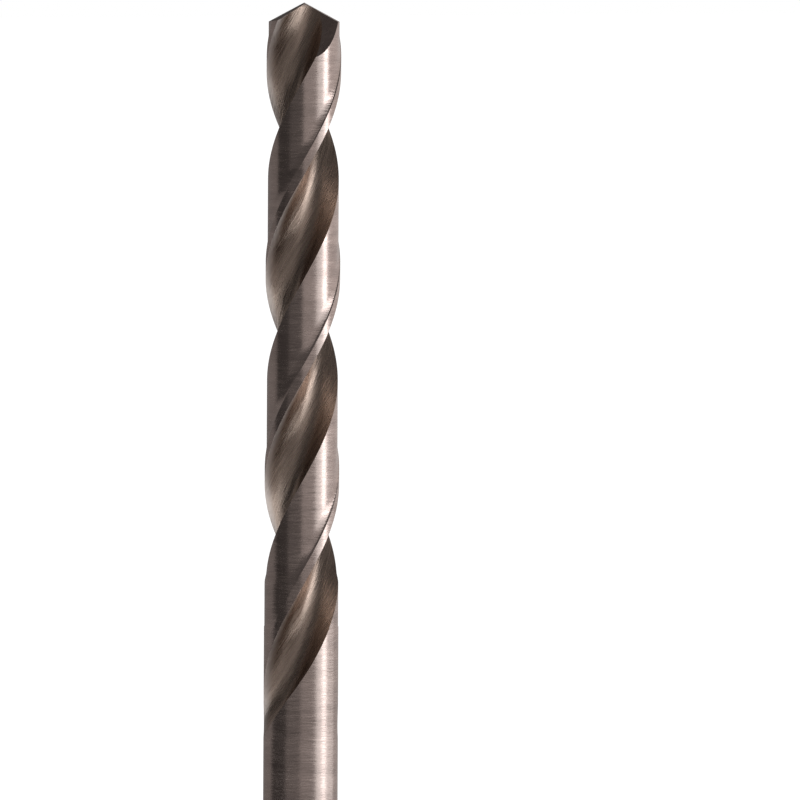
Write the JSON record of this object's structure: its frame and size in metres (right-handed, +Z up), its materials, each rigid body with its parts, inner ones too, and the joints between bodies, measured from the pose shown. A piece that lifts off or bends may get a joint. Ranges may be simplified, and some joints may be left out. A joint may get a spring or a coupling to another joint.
{
  "type": "twist drill bit",
  "caption": "Right-hand twist drill with a parallel shank, helical flutes, ground margins and a conical point with a chisel edge.",
  "frame": {"origin": "centre of the flat end face of the shank, on the drill's axis, on the surface it stands on", "axes": "+Z up the drill's axis from the shank end to the point; the two lips at the point lie along X"},
  "size_m": [0.007, 0.007, 0.109],
  "materials": {
    "ground_steel": "satin ground high-speed steel, with fine grinding lines round the lands and shank and along the flutes"
  },
  "bodies": {
    "root": {"twist_drill": "ground_steel"}
  },
  "joints": []
}
